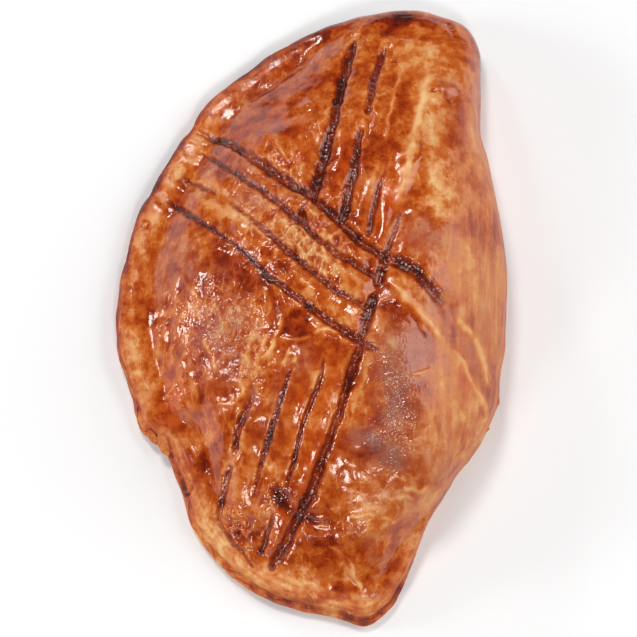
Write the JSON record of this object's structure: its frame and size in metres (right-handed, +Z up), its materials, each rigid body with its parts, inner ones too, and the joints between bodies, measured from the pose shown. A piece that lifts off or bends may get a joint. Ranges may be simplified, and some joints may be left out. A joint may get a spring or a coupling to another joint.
{
  "type": "cheese pastry",
  "caption": "Half-moon puff pastry turnover, baked golden brown, with a plump folded edge, a thin pressed rim and crossing fork scores in its glazed crust; it lies flat.",
  "frame": {"origin": "middle of the footprint's box, on the surface that the pastry lies on", "axes": "+Y along the length, towards the blunt end; +X towards the plump folded edge; +Z up through the glazed crust"},
  "size_m": [0.1012, 0.1642, 0.0348],
  "materials": {
    "crust": "egg-glazed baked pastry: glossy reddish brown on the scored side, duller on the folded side, pale at the rim"
  },
  "bodies": {
    "root": {"pastry": "crust"}
  },
  "joints": []
}
